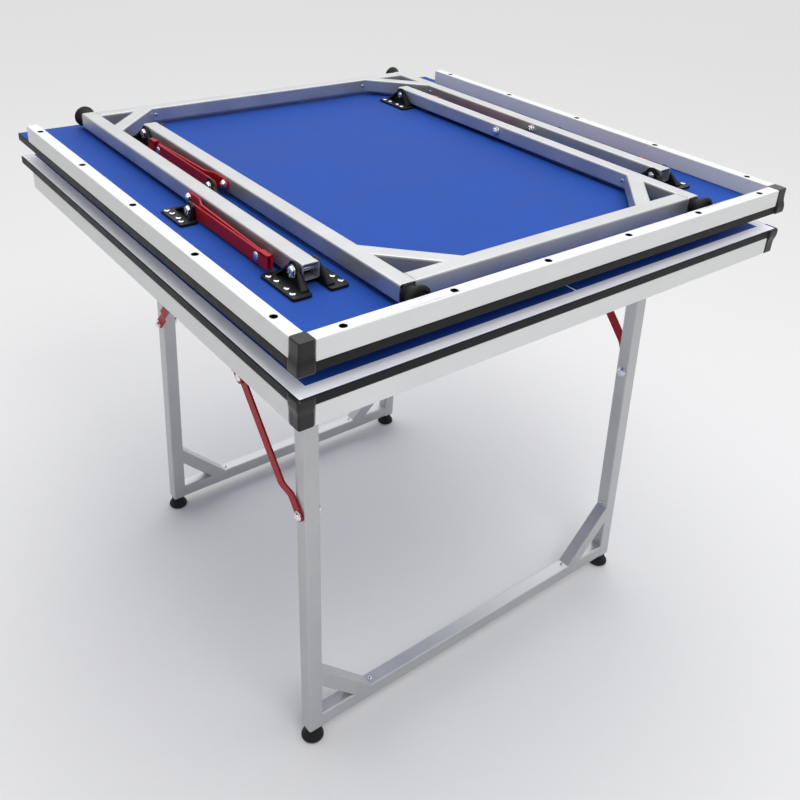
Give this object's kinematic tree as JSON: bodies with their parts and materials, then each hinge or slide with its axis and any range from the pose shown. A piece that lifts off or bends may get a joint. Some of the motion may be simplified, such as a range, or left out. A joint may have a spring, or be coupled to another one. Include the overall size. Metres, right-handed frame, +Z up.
{
  "type": "folding table-tennis table",
  "caption": "Folding table-tennis table: lower half on its standing leg frames, upper half folded over it with its leg frames flat, red folding stays.",
  "frame": {"origin": "on the floor, under the middle of the folded table's bounding box", "axes": "+Z up; +Y from the outer edge towards the joining edge that carries the centre hinge; +X to the right seen from the outer edge"},
  "size_m": [0.92, 0.9225, 0.8415],
  "materials": {
    "board": "blue paint, low sheen, on fibreboard",
    "edge_band": "black, low sheen",
    "rail": "pale grey, satin",
    "corner_cap": "black, moulded, soft gloss",
    "hinge_steel": "zinc plated",
    "frame_tube": "silver powder coat, satin",
    "foot": "matt black",
    "bracket": "black, moulded, low sheen",
    "stay": "red powder coat, satin"
  },
  "bodies": {
    "lower_half": {"board_lower": "board", "edge_band_lower": "edge_band", "rail_left_lower": "rail", "rail_right_lower": "rail", "rail_front_lower": "rail", "corner_cap_left_lower": "corner_cap", "corner_cap_right_lower": "corner_cap", "centre_hinge_lower": "hinge_steel", "hinge_brackets_left_front_lower": "bracket", "stay_bracket_left_front_lower": "bracket", "hinge_brackets_right_front_lower": "bracket", "stay_bracket_right_front_lower": "bracket", "hinge_brackets_left_back_lower": "bracket", "stay_bracket_left_back_lower": "bracket", "hinge_brackets_right_back_lower": "bracket", "stay_bracket_right_back_lower": "bracket"},
    "upper_half": {"board_upper": "board", "edge_band_upper": "edge_band", "rail_left_upper": "rail", "rail_right_upper": "rail", "rail_front_upper": "rail", "corner_cap_left_upper": "corner_cap", "corner_cap_right_upper": "corner_cap", "centre_hinge_upper": "hinge_steel", "hinge_brackets_left_front_upper": "bracket", "stay_bracket_left_front_upper": "bracket", "hinge_brackets_right_front_upper": "bracket", "stay_bracket_right_front_upper": "bracket", "hinge_brackets_left_back_upper": "bracket", "stay_bracket_left_back_upper": "bracket", "hinge_brackets_right_back_upper": "bracket", "stay_bracket_right_back_upper": "bracket"},
    "legs_front_upper": {"leg_frame_front_upper": "frame_tube", "foot_left_front_upper": "foot", "foot_right_front_upper": "foot"},
    "arms_front_upper": {"stay_arm_left_front_upper": "stay", "stay_arm_right_front_upper": "stay"},
    "bars_front_upper": {"stay_bar_left_front_upper": "stay", "stay_bar_right_front_upper": "stay"},
    "legs_back_upper": {"leg_frame_back_upper": "frame_tube", "foot_left_back_upper": "foot", "foot_right_back_upper": "foot"},
    "arms_back_upper": {"stay_arm_left_back_upper": "stay", "stay_arm_right_back_upper": "stay"},
    "bars_back_upper": {"stay_bar_left_back_upper": "stay", "stay_bar_right_back_upper": "stay"},
    "legs_front_lower": {"leg_frame_front_lower": "frame_tube", "foot_left_front_lower": "foot", "foot_right_front_lower": "foot"},
    "arms_front_lower": {"stay_arm_left_front_lower": "stay", "stay_arm_right_front_lower": "stay"},
    "bars_front_lower": {"stay_bar_left_front_lower": "stay", "stay_bar_right_front_lower": "stay"},
    "legs_back_lower": {"leg_frame_back_lower": "frame_tube", "foot_left_back_lower": "foot", "foot_right_back_lower": "foot"},
    "arms_back_lower": {"stay_arm_left_back_lower": "stay", "stay_arm_right_back_lower": "stay"},
    "bars_back_lower": {"stay_bar_left_back_lower": "stay", "stay_bar_right_back_lower": "stay"}
  },
  "joints": [
    {"name": "half_fold", "type": "hinge", "parent": "lower_half", "child": "upper_half", "pos_m": [0, 0.45625, 0.777], "axis": [-1, 0, 0], "range_deg": [0, 180]},
    {"name": "legs_front_upper_fold", "type": "hinge", "parent": "upper_half", "child": "legs_front_upper", "pos_m": [0, -0.29225, 0.8235], "axis": [1, 0, 0], "range_deg": [0, 92.5]},
    {"name": "arms_front_upper_swing", "type": "hinge", "parent": "upper_half", "child": "arms_front_upper", "pos_m": [0, -0.04125, 0.8175], "axis": [1, 0, 0], "range_deg": [-47.64, 0]},
    {"name": "bars_front_upper_swing", "type": "hinge", "parent": "arms_front_upper", "child": "bars_front_upper", "pos_m": [0, -0.2206, 0.8175], "axis": [1, 0, 0], "range_deg": [0, 178.38]},
    {"name": "legs_back_upper_fold", "type": "hinge", "parent": "upper_half", "child": "legs_back_upper", "pos_m": [0, 0.29575, 0.8235], "axis": [-1, 0, 0], "range_deg": [0, 91]},
    {"name": "arms_back_upper_swing", "type": "hinge", "parent": "upper_half", "child": "arms_back_upper", "pos_m": [0, 0.02975, 0.8175], "axis": [-1, 0, 0], "range_deg": [-46.76, 0]},
    {"name": "bars_back_upper_swing", "type": "hinge", "parent": "arms_back_upper", "child": "bars_back_upper", "pos_m": [0, 0.21939, 0.8175], "axis": [-1, 0, 0], "range_deg": [0, 178.34]},
    {"name": "legs_front_lower_fold", "type": "hinge", "parent": "lower_half", "child": "legs_front_lower", "pos_m": [0, -0.29225, 0.7305], "axis": [1, 0, 0], "range_deg": [0, 54]},
    {"name": "arms_front_lower_swing", "type": "hinge", "parent": "lower_half", "child": "arms_front_lower", "pos_m": [0, -0.04125, 0.7365], "axis": [1, 0, 0], "range_deg": [-37.88, 0]},
    {"name": "bars_front_lower_swing", "type": "hinge", "parent": "arms_front_lower", "child": "bars_front_lower", "pos_m": [0, -0.16211, 0.60399], "axis": [1, 0, 0], "range_deg": [0, 124.38]},
    {"name": "legs_back_lower_fold", "type": "hinge", "parent": "lower_half", "child": "legs_back_lower", "pos_m": [0, 0.29575, 0.7305], "axis": [-1, 0, 0], "range_deg": [0, 91]},
    {"name": "arms_back_lower_swing", "type": "hinge", "parent": "lower_half", "child": "arms_back_lower", "pos_m": [0, 0.02975, 0.7365], "axis": [-1, 0, 0], "range_deg": [-46.76, 0]},
    {"name": "bars_back_lower_swing", "type": "hinge", "parent": "arms_back_lower", "child": "bars_back_lower", "pos_m": [0, 0.1597, 0.59838], "axis": [-1, 0, 0], "range_deg": [0, 178.34]}
  ],
  "couplings": [
    {"joint": "arms_front_upper_swing", "follows": "legs_front_upper_fold", "ratio": -0.51495},
    {"joint": "bars_front_upper_swing", "follows": "legs_front_upper_fold", "ratio": 1.9284},
    {"joint": "arms_back_upper_swing", "follows": "legs_back_upper_fold", "ratio": -0.51369},
    {"joint": "bars_back_upper_swing", "follows": "legs_back_upper_fold", "ratio": 1.9597},
    {"joint": "arms_front_lower_swing", "follows": "legs_front_lower_fold", "ratio": -0.70125},
    {"joint": "bars_front_lower_swing", "follows": "legs_front_lower_fold", "ratio": 2.3031},
    {"joint": "arms_back_lower_swing", "follows": "legs_back_lower_fold", "ratio": -0.51369},
    {"joint": "bars_back_lower_swing", "follows": "legs_back_lower_fold", "ratio": 1.9597}
  ]
}
